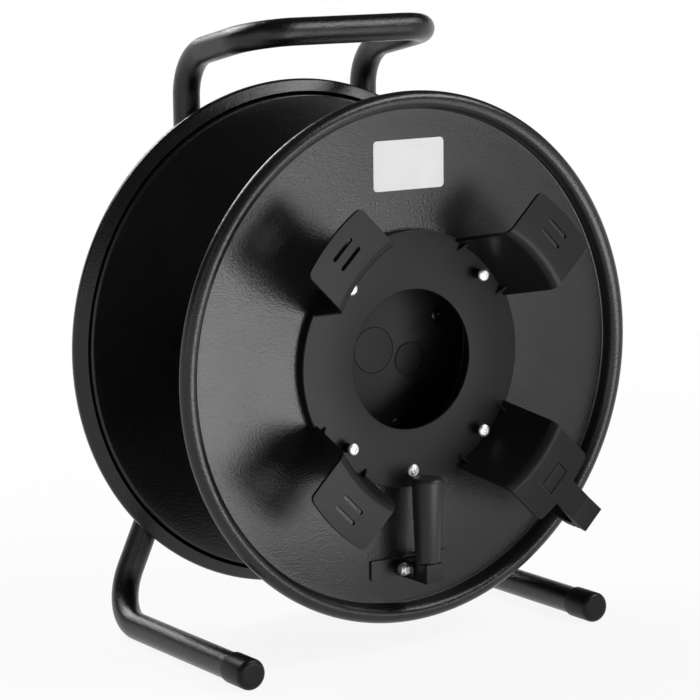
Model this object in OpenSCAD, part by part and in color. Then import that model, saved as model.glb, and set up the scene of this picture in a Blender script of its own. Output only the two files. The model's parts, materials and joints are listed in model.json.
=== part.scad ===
// Cable reel: a sheet-steel drum with rolled rims that turns on a stand of bent tube.
// Millimetres, +Z up, the floor at z = 0, and the front of the reel towards -Y.
// The pieces on the axle are drawn in a frame of their own: x right, y up, z to the front,
// with z = 0 midway between the flanges.

/* [Drum] */
// Outer radius of the flanges, over their rolled rims
flange_r = 190; // [175:1:230]
// Clear width between the flanges
winding_w = 136; // [120:1:180]
// Thickness of the flange and core sheet
sheet_t = 1.5; // [1:0.1:2]
// Free gap between the hub pot and the core
core_gap = 5.5; // [3:0.5:15]

/* [Rolled rim] */
// Radius of the rim's round crown
crown_r = 6.25; // [5.5:0.25:8]
// Height of the rim's wall, from the flange face to the middle of the crown
rim_wall_h = 6; // [4:0.5:9]
// Inner radius of the bend at the foot of the rim's wall
rim_bend_r = 1.1; // [0.6:0.1:2]
// Outer radius of the bend from the crown into the tucked edge
tuck_bend_r = 3; // [2.5:0.25:4]
// Angle between the tucked edge and the flange
tuck_angle = 28.4; // [20:0.2:35]
// Gap left between the tucked edge and the rim's wall
tuck_gap = 1.5; // [0.5:0.1:2.5]

/* [Hub pot] */
// Inner radius of the hub pot
pot_r = 80.5; // [76:0.5:90]
// Wall of the hub pot
pot_wall = 2.5; // [2:0.1:4]
// Depth of the pot's floor below the face of the winding holder
pot_depth = 48.5; // [42:0.5:56]
// Thickness of the pot's floor
pot_floor = 4; // [3.5:0.1:6]
// Width of the pot's lip on the flange
lip_w = 6; // [4:0.5:10]
// Radius of the pot's screw bosses
boss_r = 6.5; // [5:0.1:8]
// Distance of the boss screws from the pot's wall
boss_inset = 0.5; // [0:0.1:3]
// Radius of the circle of screws in the pot's floor
floor_screw_r = 60; // [45:0.5:64]
// Turn of the screws in the pot's floor
floor_screw_turn = 19.5; // [0:0.5:40]
// Radius of the knock-out in the pot's floor
knockout_r = 12.5; // [8:0.5:14]
// Distance of the knock-out from the axle
knockout_x = 32.5; // [31:0.5:40]
// Turn of the knock-out about the axle
knockout_turn = -17; // [-30:1:0]
// Thickness of the cap over the axle's nut
cap_t = 2; // [1.5:0.1:2.5]
// Radius of the cap over the axle's nut
cap_r = 16.5; // [15.5:0.1:18]

/* [Winding holder] */
// Height of the holder's ring over the flange
ring_h = 6; // [5:0.5:10]
// Thickness of the holder's ring
ring_t = 3; // [2:0.1:4]
// Thickness of the ring's skirt
ring_wall = 2.5; // [2:0.1:4]
// Radius of the opening in the ring
opening_r = 50; // [40:0.5:58]
// Height of the wings over the ring
wing_h = 50; // [40:0.5:60]
// Outer radius of the wings
wing_r = 140.5; // [136:0.5:152]
// Width of a wing between its parallel sides
wing_w = 60; // [52:0.5:70]
// Thickness of the wings
wing_t = 2.5; // [2:0.1:3.5]
// Lean of a wing's wall away from the axle
wing_lean = 14.5; // [8:0.5:18]
// Front radius of the bend between a wing's wall and its plate
wing_bend_r = 8; // [5:0.5:10]
// Radius of a wing plate's corners
wing_corner_r = 5; // [2:0.5:9]
// Length of the slots in a wing
slot_l = 20; // [12:0.5:30]
// Width of the slots in a wing
slot_w = 2.5; // [1.5:0.1:3.5]
// Distance of the outer slot from the wing's edge
slot_edge = 11.7; // [9:0.1:14]
// Distance from the outer slot to the inner one
slot_step = 9.3; // [6:0.1:11]
// Length of a wing's gussets on the ring
gusset_l = 9; // [5:0.5:12]
// Height of a wing's gussets
gusset_h = 8.5; // [5:0.5:12]
// Thickness of a wing's gussets
gusset_t = 1.5; // [1:0.1:2.5]
// Distance of the gussets from a wing's sides
gusset_inset = 6; // [3:0.5:10]
// Height of the posts under the wing screws
post_h = 8; // [4:0.5:10]
// Radius of the posts under the wing screws
post_r = 3.5; // [3:0.1:5]

/* [Cable clip] */
// Width of the cable clip
clip_w = 20.4; // [16:0.2:26]
// Thickness of the clip
clip_t = 2.5; // [2:0.1:3.5]
// Reach of the clip past the edge of its wing
clip_reach = 35.5; // [30:0.5:42]
// Rise of the clip's tip over the face of its wing
clip_rise = 0.5; // [0:0.1:4]
// Depth of the clip's jaw behind the face of its wing
clip_depth = 30; // [26:0.5:34]
// Distance from the wing's edge to the bend in the clip's tongue
tongue_l = 20.5; // [14:0.5:24]
// Depth of the bend in the clip's tongue behind the face of its wing
tongue_drop = 1.8; // [0.5:0.1:2.5]
// Distance of the jaw's end from the clip's tip
jaw_in = 13; // [10:0.5:16]
// Distance of the jaw's knee from the clip's tip
jaw_knee_in = 4; // [3:0.5:6]
// Distance of the jaw's knee from the jaw's end
jaw_knee_up = 11; // [9:0.5:13]
// Height of the jaw's teeth
tooth_h = 1.25; // [0.5:0.25:2]
// Distance of the clip's window from the wing's edge
window_edge = 9.5; // [8:0.5:13]
// Length of the clip's window in the wing
window_l = 11.2; // [8:0.2:13]

/* [Crank] */
// Distance of the crank's pivot from the rim's wall
crank_inset = 28; // [25:0.5:36]
// Height of the crank's pivot over the flange
pivot_h = 12; // [11.5:0.1:14]
// Radius of the pivot bolt
pivot_r = 3; // [2.5:0.1:3.5]
// Length of the bracket's strip
strip_l = 67; // [50:0.5:80]
// Height of the bracket's strip
strip_h = 14.5; // [12:0.5:18]
// Thickness of the bracket's sheet
bracket_t = 2; // [1.5:0.1:2.5]
// Reach of the bracket's ears past the pivot
ear_reach = 7; // [5:0.5:8]
// Width of the crank's block between the ears
block_w = 14.6; // [12:0.2:18]
// Height of the block above the pivot
block_up = 6; // [5:0.5:7]
// Height of the block below the pivot
block_down = 8; // [5:0.5:8]
// Depth of the block behind the pivot
block_back = 4; // [3.5:0.1:5]
// Depth of the block in front of the grip's axis
block_nose = 9; // [8:0.5:12]
// Distance of the grip's axis in front of the pivot
grip_offset = 12; // [10:0.5:16]
// Length of the grip
grip_l = 61; // [45:0.5:66]
// Radius of the grip at the block
grip_r0 = 9; // [7.5:0.1:9.5]
// Radius of the grip at its free end
grip_r1 = 11.5; // [10:0.1:13]
// Rounding of the grip's free end
grip_round = 3; // [1:0.5:5]
// Radius of the grip's spindle
spindle_r = 4; // [3:0.1:5]

/* [Stand] */
// Gap between the flanges and the floor
floor_gap = 21.5; // [15:0.5:60]
// Radius of the stand's tube
tube_r = 10; // [8:0.25:12]
// Wall of the stand's tube
tube_wall = 1.5; // [1:0.1:2.5]
// Distance of the feet from the middle
foot_x = 150; // [120:1:200]
// Reach of the feet in front of the drum's middle
foot_reach = 98; // [80:1:140]
// Distance of the uprights from the middle
upright_x = 78; // [60:1:100]
// Height of the uprights' lower bends below the axle
knee_drop = 45; // [40:1:70]
// Height of the carrying bar over the rims
carry_h = 39.5; // [30:0.5:60]
// Rise of the carrying arms towards the bar
arm_rise = 20.6; // [0:0.1:30]
// Distance of the carrying bar in front of the uprights
arm_l = 99; // [80:1:120]
// Bend radius at the back of the feet
foot_bend_r = 38; // [25:1:45]
// Bend radius at the foot of the uprights
knee_bend_r = 60; // [30:1:90]
// Bend radius at the top of the uprights
top_bend_r = 36; // [25:1:40]
// Bend radius at the ends of the carrying bar
bar_bend_r = 32; // [25:1:40]
// Outer radius of the caps on the feet
foot_cap_r = 11.2; // [11:0.1:13]
// Length of the caps on the feet
foot_cap_l = 25; // [20:1:50]
// Rounding of the caps' ends
foot_cap_round = 4; // [2:0.5:6]
// Thickness of the caps' ends
foot_cap_end = 3; // [2:0.5:5]

/* [Axle] */
// Radius of the axle
axle_r = 8; // [7.5:0.1:9]
// Radius of the axle's threaded ends
thread_r = 6; // [5:0.1:6.5]
// Radius of the collar between the drum and the axle plate
collar_r = 12; // [10:0.5:14]
// Thickness of the axle plate
plate_t = 5; // [3:0.5:8]
// Height of the axle plate
plate_h = 60; // [40:1:90]
// Corner radius of the axle plate
plate_corner_r = 8; // [3:0.5:12]
// Gap between the rear rim and the axle plate
plate_gap = 2.5; // [2:0.25:10]
// Width across the flats of the axle's nuts
nut_flats = 19; // [17:0.5:21]
// Height of the axle's nuts
nut_h = 7; // [5:0.5:8]
// Outer radius of the bearing tube
bearing_r = 15; // [12:0.5:16]
// Thickness of the bearing's welded discs
disc_t = 2; // [1.5:0.1:3]
// Radius of the bearing's rear disc
rear_disc_r = 30; // [22:0.5:45]
// Depth of the cup around the axle's front nut
cup_depth = 9; // [8.5:0.5:12]
// Room in the cup around the axle's front nut
nut_room = 3.5; // [3:0.25:4.5]
// Length of the threads that shows past the nuts
thread_end = 1.5; // [0.5:0.25:1.5]
// Margin of the bearing's front disc around its screws
disc_margin = 8; // [5:0.5:10]

/* [Screws and fits] */
// Radius of the screw heads
head_r = 4.6; // [4:0.1:5]
// Height of the screw heads
head_h = 2.8; // [1.8:0.1:3]
// Radius of the screw shanks
shank_r = 1.9; // [1.5:0.1:2.2]
// Length of the screw shanks in the bosses
shank_l = 10; // [6:0.5:14]
// Radial clearance of the turning fits
run_gap = 0.08; // [0.03:0.01:0.1]
// Radial clearance of the fixed fits
fit_gap = 0.1; // [0.05:0.05:0.2]
// Clearance of the pot and the bearing in the flanges
seat_gap = 0.5; // [0.2:0.1:1]
// End play of the drum, the crank and the grip
end_play = 0.3; // [0.2:0.05:0.5]

/* [Hidden] */
$fn = 96;
eps = 0.01;

// Turn of the wings about the axle, and of the wing that carries the cable clip
wing_turns = [45, 135, 225, 315];
clip_turn = 315;
ring_screw_turn = 270;
pot_rib_turns = [-8, -21];
bend_lap = 1;
bend_swell = 0.1;
pot_rib_w = 2;
pot_rib_h = 1.2;
knockout_line = 0.6;

// Heights along the axle, to the front
flange_z = winding_w / 2 + sheet_t;
rim_z = flange_z + rim_wall_h + crown_r;
ring_z = flange_z + ring_h;
wing_z = ring_z + wing_h;
floor_z = ring_z - pot_depth;
disc_z = floor_z - pot_floor;
cup_z = disc_z - cup_depth;
clip_z = wing_z + clip_rise;
plate_z = -(rim_z + plate_gap);
upright_z = plate_z - plate_t - tube_r;

// Radii on the drum
pot_out = pot_r + pot_wall;
core_r = pot_out + core_gap + sheet_t;
lip_t = ring_h - ring_t;
ring_r = pot_out + lip_w + seat_gap + ring_wall;
screw_r = pot_r - boss_inset;
hub_disc_r = floor_screw_r + disc_margin;
nut_r = nut_flats / 2 / cos(30);
cup_r = nut_r + nut_room;
rim_wall_r = flange_r - 2 * crown_r;
arc_steps = 10;

// Tucked edge of the rim: the middle of its bend, the bend's end and the length up to the gap
tuck_centre = [flange_r - tuck_bend_r, rim_wall_h];
tuck_end = tuck_angle - 90;
tuck_l = (tuck_centre.x + (tuck_bend_r - sheet_t) * cos(tuck_end) - rim_wall_r - sheet_t - tuck_gap)
    / cos(tuck_angle);

// Wing section: the middle of the bend between the wall and the plate
wall_foot_r = ring_r - wing_t / cos(wing_lean);
bend_z = wing_z - wing_bend_r;
bend_r = wall_foot_r + (bend_z - ring_z + wing_bend_r * sin(wing_lean)) * tan(wing_lean)
    + wing_bend_r * cos(wing_lean);
window_r = wing_r - window_edge - window_l;

// Crank
crank_r = rim_wall_r - crank_inset;
pivot_z = flange_z + pivot_h;
grip_z = pivot_z + grip_offset;
block_top = -crank_r + block_up;
ear_in = block_w / 2 + end_play;
ear_out = ear_in + bracket_t;
pivot_nut_h = 6;
pivot_nut_flats = 10;
pivot_head_h = 4;

// The drum's place in the stand, with the reel's depth centred on y = 0
swell_r = tube_r + bend_swell;
axle_h = flange_r + floor_gap;
drum_y = (clip_z + upright_z - swell_r) / 2;
upright_y = drum_y - upright_z;
front_y = drum_y - foot_reach;

// The stand's tube: its feet slope a little, so that the caps and the rear bends both touch the floor
foot_fall = (foot_cap_r - swell_r) / (upright_y - foot_bend_r - front_y - foot_cap_l);
foot_tip = [foot_x, front_y + foot_cap_end, foot_cap_r + foot_fall * (foot_cap_l - foot_cap_end)];
foot_heel = [foot_x, upright_y, swell_r - foot_fall * foot_bend_r];
knee = [upright_x, upright_y, axle_h - knee_drop];
bar_z = axle_h + flange_r + carry_h;
arm_foot = [upright_x, upright_y, bar_z - arm_rise];
bar_end = [upright_x, upright_y - arm_l, bar_z];
right_side = [foot_tip, foot_heel, knee, arm_foot, bar_end];
side_bends = [0, foot_bend_r, knee_bend_r, top_bend_r, bar_bend_r];
tube_path = concat(right_side, [for (i = [len(right_side) - 1 : -1 : 0]) flip_x(right_side[i])]);
tube_bends = concat(side_bends, [for (i = [len(side_bends) - 1 : -1 : 0]) side_bends[i]]);

function flip_x(p) = [-p.x, p.y, p.z];
function unit(v) = v / norm(v);
function heading(i) = unit(tube_path[i + 1] - tube_path[i]);
function turn(i) = acos(heading(i - 1) * heading(i));
function trim(i) = tube_bends[i] == 0 ? 0 : tube_bends[i] * tan(turn(i) / 2);

// Puts the children's x, y and z axes along three given directions, at a given place
module placed(x, y, z, at) {
    multmatrix([
        [x.x, y.x, z.x, at.x],
        [x.y, y.y, z.y, at.y],
        [x.z, y.z, z.z, at.z],
        [0, 0, 0, 1]])
        children();
}

// Puts the children's z axis along a direction, at a given place
module along(z, at) {
    x = unit(cross(abs(z.x) < 0.9 ? [1, 0, 0] : [0, 1, 0], z));
    placed(x, cross(z, x), z, at) children();
}

module on_axle() {
    translate([0, drum_y, axle_h]) rotate([90, 0, 0]) children();
}

// Turns the children about the axle, out to a given radius
module around(turn, r = 0, z = 0) {
    rotate(turn) translate([r, 0, z]) children();
}

// A piece of a flat ring between two angles that are at most half a turn apart
module arc(r_out, r_in, from, to) {
    far = 2 * r_out;
    mid = (from + to) / 2;
    intersection() {
        difference() {
            circle(r_out);
            circle(r_in);
        }
        polygon([
            [0, 0],
            far * [cos(from), sin(from)],
            1.5 * far * [cos(mid), sin(mid)],
            far * [cos(to), sin(to)]]);
    }
}

// A rectangle around the origin with round corners
module rounded_plate(w, h, r) {
    square([w - 2 * r, h], center = true);
    square([w, h - 2 * r], center = true);
    for (x = [-1, 1], y = [-1, 1])
        translate([x * (w / 2 - r), y * (h / 2 - r)]) circle(r);
}

module hexagon(flats, h, bore_r) {
    difference() {
        cylinder(r = flats / 2 / cos(30), h = h, $fn = 6);
        translate([0, 0, -1]) cylinder(r = bore_r, h = h + 2);
    }
}

// Stand

// One straight of the tube, which laps a little into the bends, and by end_lap past the tube's own ends
module tube_straight(i, r, end_lap) {
    last = i + 2 == len(tube_path);
    start = tube_path[i] + (i == 0 ? -end_lap : trim(i) - bend_lap) * heading(i);
    length = norm(tube_path[i + 1] - start) + (last ? end_lap : bend_lap - trim(i + 1));
    along(heading(i), start) cylinder(r = r, h = length);
}

// One bend of the tube, where it swells a little
module tube_bend(i, r) {
    into = heading(i - 1);
    inward = unit(heading(i) - into * (into * heading(i)));
    centre = tube_path[i] - trim(i) * into + tube_bends[i] * inward;
    placed(-inward, into, cross(-inward, into), centre)
        rotate_extrude(angle = turn(i)) translate([tube_bends[i], 0]) circle(r + bend_swell);
}

module tube_run(r, end_lap) {
    for (i = [0 : len(tube_path) - 2]) tube_straight(i, r, end_lap);
    for (i = [1 : len(tube_path) - 2]) tube_bend(i, r);
}

module frame_tube() color([0.09, 0.09, 0.09]) {
    difference() {
        tube_run(tube_r, 0);
        tube_run(tube_r - tube_wall, 1);
    }
}

module foot_cap_section() {
    difference() {
        union() {
            square([foot_cap_r, foot_cap_l - foot_cap_round]);
            square([foot_cap_r - foot_cap_round, foot_cap_l]);
            translate([foot_cap_r - foot_cap_round, foot_cap_l - foot_cap_round])
                circle(foot_cap_round);
        }
        translate([-1, -1]) square([1, foot_cap_l + 2]);
        translate([-1, -1]) square([1 + tube_r + fit_gap, foot_cap_l - foot_cap_end + 1]);
    }
}

// Cap pushed over a foot's front end, up to a small gap before the inside of the cap's end
module foot_cap(tip, heading) {
    depth = foot_cap_l - foot_cap_end - fit_gap;
    along(heading, tip - depth * heading) rotate_extrude() foot_cap_section();
}

module foot_cap_left() color([0.07, 0.07, 0.07]) {
    foot_cap(flip_x(foot_tip), flip_x(-heading(0)));
}

module foot_cap_right() color([0.07, 0.07, 0.07]) {
    foot_cap(foot_tip, -heading(0));
}

module axle_plate() color([0.09, 0.09, 0.09]) {
    on_axle() translate([0, 0, plate_z - plate_t]) linear_extrude(plate_t) difference() {
        rounded_plate(2 * (upright_x + tube_r), plate_h, plate_corner_r);
        circle(thread_r + fit_gap);
    }
}

module axle() color([0.6, 0.6, 0.62]) {
    shoulder = cup_z + end_play;
    collar = -(flange_z + disc_t + end_play);
    back = plate_z - plate_t - nut_h - thread_end;
    on_axle() {
        translate([0, 0, back]) cylinder(r = thread_r, h = plate_z - back);
        translate([0, 0, plate_z]) cylinder(r = collar_r, h = collar - plate_z);
        translate([0, 0, collar]) cylinder(r = axle_r, h = shoulder - collar);
        translate([0, 0, shoulder]) cylinder(r = thread_r, h = nut_h + thread_end);
    }
}

module axle_nut_front() color([0.7, 0.7, 0.72]) {
    on_axle() translate([0, 0, cup_z + end_play]) hexagon(nut_flats, nut_h, thread_r + fit_gap);
}

module axle_nut_rear() color([0.7, 0.7, 0.72]) {
    on_axle() translate([0, 0, plate_z - plate_t - nut_h])
        hexagon(nut_flats, nut_h, thread_r + fit_gap);
}

// Drum

// Points of an arc about a centre, without its first point where skip is 1
function arc_points(centre, r, from, to, skip = 0) = [
    for (k = [skip : arc_steps])
        let (a = from + (to - from) * k / arc_steps)
            centre + r * [cos(a), sin(a)]];

function backwards(points) = [for (i = [len(points) - 1 : -1 : 0]) points[i]];

// One face of the flange's sheet in section, where lift is 0 on the outer face and sheet_t on the inner
// one: it runs out from the hole, bends up into the rim's wall, goes over the crown and comes back as a
// tucked edge
function sheet_face(hole_r, lift) = concat(
    [[hole_r, -lift]],
    arc_points([rim_wall_r - rim_bend_r, rim_bend_r], rim_bend_r + lift, -90, 0),
    arc_points([flange_r - crown_r, rim_wall_h], crown_r - lift, 180, 0),
    arc_points(tuck_centre, tuck_bend_r - lift, 0, tuck_end, 1),
    [tuck_centre + (tuck_bend_r - lift) * [cos(tuck_end), sin(tuck_end)]
        - tuck_l * [cos(tuck_angle), sin(tuck_angle)]]);

// Flange of one sheet with its rim rolled over, its outer face on flange_z
module flange(hole_r) {
    translate([0, 0, flange_z]) rotate_extrude()
        polygon(concat(sheet_face(hole_r, 0), backwards(sheet_face(hole_r, sheet_t))));
}

module front_flange() color([0.13, 0.13, 0.13]) {
    on_axle() flange(pot_out + seat_gap);
}

module rear_flange() color([0.13, 0.13, 0.13]) {
    on_axle() mirror([0, 0, 1]) flange(bearing_r + seat_gap);
}

module core() color([0.1, 0.1, 0.1]) {
    on_axle() translate([0, 0, -winding_w / 2]) linear_extrude(winding_w) difference() {
        circle(core_r);
        circle(core_r - sheet_t);
    }
}

// Bearing tube with a welded disc at each end, the front one pressed to a cup around the axle's nut
module bearing_hub() color([0.45, 0.45, 0.47]) {
    back = -(flange_z + disc_t);
    bore_r = axle_r + run_gap;
    on_axle() difference() {
        rotate_extrude() {
            translate([bore_r, back]) square([bearing_r - bore_r, cup_z - back]);
            translate([bore_r, back]) square([rear_disc_r - bore_r, disc_t]);
            translate([bearing_r - disc_t, cup_z - disc_t])
                square([cup_r + 2 * disc_t - bearing_r, disc_t]);
            translate([cup_r, cup_z - disc_t]) square([disc_t, disc_z - cup_z + disc_t]);
            translate([cup_r, disc_z - disc_t]) square([hub_disc_r - cup_r, disc_t]);
        }
        for (k = [0 : 3]) around(floor_screw_turn + 90 * k, floor_screw_r, disc_z - disc_t - 1)
            cylinder(r = shank_r + fit_gap, h = disc_t + 2);
    }
}

module pot_section() {
    difference() {
        union() {
            translate([cup_r, disc_z]) square([pot_out - cup_r, pot_floor]);
            translate([pot_r, disc_z]) square([pot_wall, ring_z - ring_t - disc_z]);
            translate([pot_r, flange_z]) square([pot_wall + lip_w, lip_t]);
        }
        translate([0, floor_z - cap_t]) square([cap_r + fit_gap, cap_t + 1]);
    }
}

// The bosses stand on the pot's floor and end just under the holder's ring
module pot_boss(turn) {
    foot = floor_z - pot_floor / 2;
    around(turn, screw_r, foot) cylinder(r = boss_r, h = ring_z - ring_t - end_play - foot);
}

module pot_screw_hole(turn) {
    depth = head_h + end_play;
    around(turn, floor_screw_r, disc_z - 1) cylinder(r = shank_r + fit_gap, h = pot_floor + 2);
    around(turn, floor_screw_r, floor_z - depth) cylinder(r = head_r + seat_gap, h = depth + 1);
}

module hub_pot() color([0.07, 0.07, 0.07]) {
    on_axle() difference() {
        union() {
            rotate_extrude() pot_section();
            intersection() {
                for (t = concat(wing_turns, [ring_screw_turn])) pot_boss(t);
                cylinder(r = pot_out - pot_wall / 2, h = ring_z);
            }
            for (t = pot_rib_turns) around(t, pot_r - pot_rib_h, floor_z - pot_floor / 2)
                translate([0, -pot_rib_w / 2, 0])
                    cube([pot_rib_h + pot_wall / 2, pot_rib_w, flange_z - floor_z]);
        }
        for (t = concat(wing_turns, [ring_screw_turn])) around(t, screw_r, ring_z - ring_t - shank_l)
            cylinder(r = shank_r + fit_gap, h = shank_l + 1);
        for (k = [0 : 3]) pot_screw_hole(floor_screw_turn + 90 * k);
        around(knockout_turn, knockout_x, floor_z - knockout_line) difference() {
            cylinder(r = knockout_r, h = 1);
            translate([0, 0, -1]) cylinder(r = knockout_r - knockout_line, h = 3);
        }
    }
}

module axle_cap() color([0.07, 0.07, 0.07]) {
    on_axle() translate([0, 0, floor_z - cap_t]) cylinder(r = cap_r, h = cap_t);
}

// Outline of a wing from the front: parallel sides, an outer edge round the axle, and round corners
module wing_outline() {
    half = wing_w / 2;
    corner_r = wing_r - wing_corner_r;
    corner_y = half - wing_corner_r;
    corner_turn = asin(corner_y / corner_r);
    far = 2 * wing_r;
    intersection() {
        circle(wing_r);
        polygon([[0, 0], [far, -far * tan(corner_turn)], [far, far * tan(corner_turn)]]);
    }
    intersection() {
        circle(corner_r);
        translate([0, -half]) square([far, wing_w]);
    }
    for (s = [-1, 1]) rotate(s * corner_turn) translate([corner_r, 0]) circle(wing_corner_r);
}

// Section of a wing through the axle: a leaning wall, a bend and a flat plate
module wing_section() {
    slope = [sin(wing_lean), cos(wing_lean)];
    out = [cos(wing_lean), -sin(wing_lean)];
    bend_in = [bend_r, bend_z] - wing_bend_r * out;
    foot_in = bend_in - slope * (bend_in.y - ring_z + ring_t / 2) / slope.y;
    polygon([foot_in, bend_in, bend_in + wing_t * out, foot_in + [wing_t / cos(wing_lean), 0]]);
    translate([bend_r, bend_z]) arc(wing_bend_r, wing_bend_r - wing_t, 90, 180 - wing_lean);
    translate([bend_r, wing_z - wing_t]) square([wing_r - bend_r, wing_t]);
}

module wing_slot(r) {
    reach = (slot_l - slot_w) / 2;
    translate([r, 0, wing_z - wing_t - 1]) linear_extrude(wing_t + 2) {
        square([slot_w, 2 * reach], center = true);
        for (s = [-1, 1]) translate([0, s * reach]) circle(slot_w / 2);
    }
}

module clip_window() {
    w = clip_w + 2 * seat_gap;
    translate([window_r, -w / 2, wing_z - wing_t - 1]) cube([window_l, w, wing_t + 2]);
}

// Gusset between the ring and a wing's wall, whose back edge leans with the wall
module gusset(y) {
    foot_x = sqrt(wall_foot_r * wall_foot_r - y * y) + wing_t / 2;
    translate([0, y + gusset_t / 2, 0]) rotate([90, 0, 0]) linear_extrude(gusset_t) polygon([
        [wall_foot_r - gusset_l, ring_z - ring_t / 2],
        [wall_foot_r - gusset_l, ring_z],
        [foot_x + gusset_h * tan(wing_lean), ring_z + gusset_h],
        [foot_x, ring_z - ring_t / 2]]);
}

module wing(with_clip) {
    difference() {
        intersection() {
            rotate(-45) rotate_extrude(angle = 90) wing_section();
            translate([0, 0, flange_z]) linear_extrude(wing_z) wing_outline();
        }
        if (with_clip) clip_window();
        else for (k = [0, 1]) wing_slot(wing_r - slot_edge - k * slot_step);
    }
    for (s = [-1, 1]) gusset(s * (wing_w / 2 - gusset_inset));
}

module holder_section() {
    translate([opening_r, ring_z - ring_t]) square([ring_r - opening_r, ring_t]);
    translate([ring_r - ring_wall, flange_z]) square([ring_wall, ring_h]);
}

// Ring of the winding holder, with a post under each wing screw
module holder_ring() color([0.1, 0.1, 0.1]) {
    on_axle() difference() {
        union() {
            rotate_extrude() holder_section();
            for (t = wing_turns) around(t, screw_r, ring_z - ring_t / 2)
                cylinder(r = post_r, h = post_h + ring_t / 2);
        }
        for (t = concat(wing_turns, [ring_screw_turn])) around(t, screw_r, ring_z - ring_t - 1)
            cylinder(r = shank_r + fit_gap, h = ring_t + post_h + 2);
    }
}

// Wing of the winding holder, moulded on from the ring's front face
module holder_wing(k) color([0.1, 0.1, 0.1]) {
    on_axle() difference() {
        rotate(wing_turns[k]) wing(wing_turns[k] == clip_turn);
        translate([0, 0, ring_z - ring_t]) cylinder(r = wing_r, h = ring_t);
    }
}

// Screw with a domed head that sits on z = 0 and a shank below it
module screw(shank) {
    dome_r = (head_r * head_r + head_h * head_h) / (2 * head_h);
    rotate_extrude() intersection() {
        translate([0, head_h - dome_r]) circle(dome_r);
        square([head_r, head_h]);
    }
    translate([0, 0, -shank]) cylinder(r = shank_r, h = shank + eps);
}

module wing_screw(k) color([0.85, 0.85, 0.86]) {
    on_axle() around(wing_turns[k], screw_r, ring_z + post_h) screw(post_h + ring_t + shank_l - 1);
}

module ring_screw() color([0.85, 0.85, 0.86]) {
    on_axle() around(ring_screw_turn, screw_r, ring_z) screw(ring_t + shank_l - 1);
}

module pot_screw(k) color([0.1, 0.1, 0.1]) {
    depth = head_h + end_play;
    on_axle() around(floor_screw_turn + 90 * k, floor_screw_r, floor_z - depth)
        screw(pot_floor - depth + disc_t);
}

// Side of the cable clip: a foot behind the wing with a block in its window, a tongue that rises to
// the tip, and a toothed jaw that comes back towards the flange
module clip_side() {
    back_z = wing_z - wing_t;
    face_z = wing_z - fit_gap;
    tip = wing_r + clip_reach;
    jaw_z = wing_z - clip_depth;
    jaw_r = tip - jaw_in;
    knee_z = jaw_z + jaw_knee_up;
    knee_r = tip - jaw_knee_in;
    polygon([
        [window_r - clip_t, back_z - clip_t],
        [window_r - clip_t, back_z],
        [window_r + seat_gap, back_z],
        [window_r + seat_gap, face_z],
        [window_r + window_l - seat_gap, face_z],
        [window_r + window_l - seat_gap, back_z],
        [wing_r + seat_gap, back_z],
        [wing_r + tongue_l, wing_z - tongue_drop],
        [tip, clip_z],
        [tip, clip_z - clip_t],
        [tip - 2 * tooth_h, clip_z - 2.5 * clip_t],
        [tip - tooth_h, clip_z - 3 * clip_t],
        [tip - 2.5 * tooth_h, clip_z - 4 * clip_t],
        [tip - 1.5 * tooth_h, clip_z - 4.5 * clip_t],
        [knee_r, knee_z],
        [jaw_r, jaw_z],
        [jaw_r - clip_t, jaw_z + clip_t],
        [knee_r - 1.5 * clip_t, knee_z + clip_t],
        [tip - 3 * clip_t, back_z - 2 * clip_t],
        [wing_r + clip_t, back_z - clip_t]]);
}

module cable_clip() color([0.1, 0.1, 0.1]) {
    on_axle() rotate(clip_turn) translate([0, clip_w / 2, 0]) rotate([90, 0, 0]) linear_extrude(clip_w)
        clip_side();
}

// Crank

// An ear of the bracket, round about the pivot
module ear() {
    linear_extrude(bracket_t, center = true) {
        translate([0, -ear_reach]) square([pivot_h, 2 * ear_reach]);
        circle(ear_reach);
    }
}

module crank_bracket() color([0.12, 0.12, 0.12]) {
    on_axle() translate([0, -crank_r, flange_z]) difference() {
        union() {
            translate([-strip_l / 2, -block_down, 0]) cube([strip_l, strip_h, bracket_t]);
            for (s = [-1, 1]) translate([s * (ear_in + bracket_t / 2), 0, pivot_h]) rotate([0, 90, 0]) ear();
        }
        translate([-strip_l / 2, 0, pivot_h]) rotate([0, 90, 0])
            cylinder(r = pivot_r + fit_gap, h = strip_l);
    }
}

module at_pivot() {
    on_axle() translate([0, -crank_r, pivot_z]) rotate([0, 90, 0]) children();
}

module pivot_bolt() color([0.75, 0.75, 0.77]) {
    back = -(ear_out + pivot_nut_h + thread_end);
    at_pivot() {
        translate([0, 0, back]) cylinder(r = pivot_r, h = ear_out - back);
        translate([0, 0, ear_out]) cylinder(r = pivot_nut_flats / 2 / cos(30), h = pivot_head_h, $fn = 6);
    }
}

module pivot_nut() color([0.75, 0.75, 0.77]) {
    at_pivot() translate([0, 0, -ear_out - pivot_nut_h])
        hexagon(pivot_nut_flats, pivot_nut_h, pivot_r + fit_gap);
}

module crank_block() color([0.16, 0.16, 0.18]) {
    depth = block_back + grip_offset + block_nose;
    on_axle() difference() {
        translate([-block_w / 2, -crank_r - block_down, pivot_z - block_back])
            cube([block_w, block_up + block_down, depth]);
        translate([-block_w, -crank_r, pivot_z]) rotate([0, 90, 0])
            cylinder(r = pivot_r + run_gap, h = 2 * block_w);
        translate([0, -crank_r, grip_z]) rotate([-90, 0, 0])
            cylinder(r = spindle_r + fit_gap, h = block_up + 1);
    }
}

// The spindle stands in the block and carries the grip
module spindle() color([0.7, 0.7, 0.72]) {
    on_axle() translate([0, -crank_r, grip_z]) rotate([-90, 0, 0])
        cylinder(r = spindle_r, h = block_up + grip_l - grip_r1);
}

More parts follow.
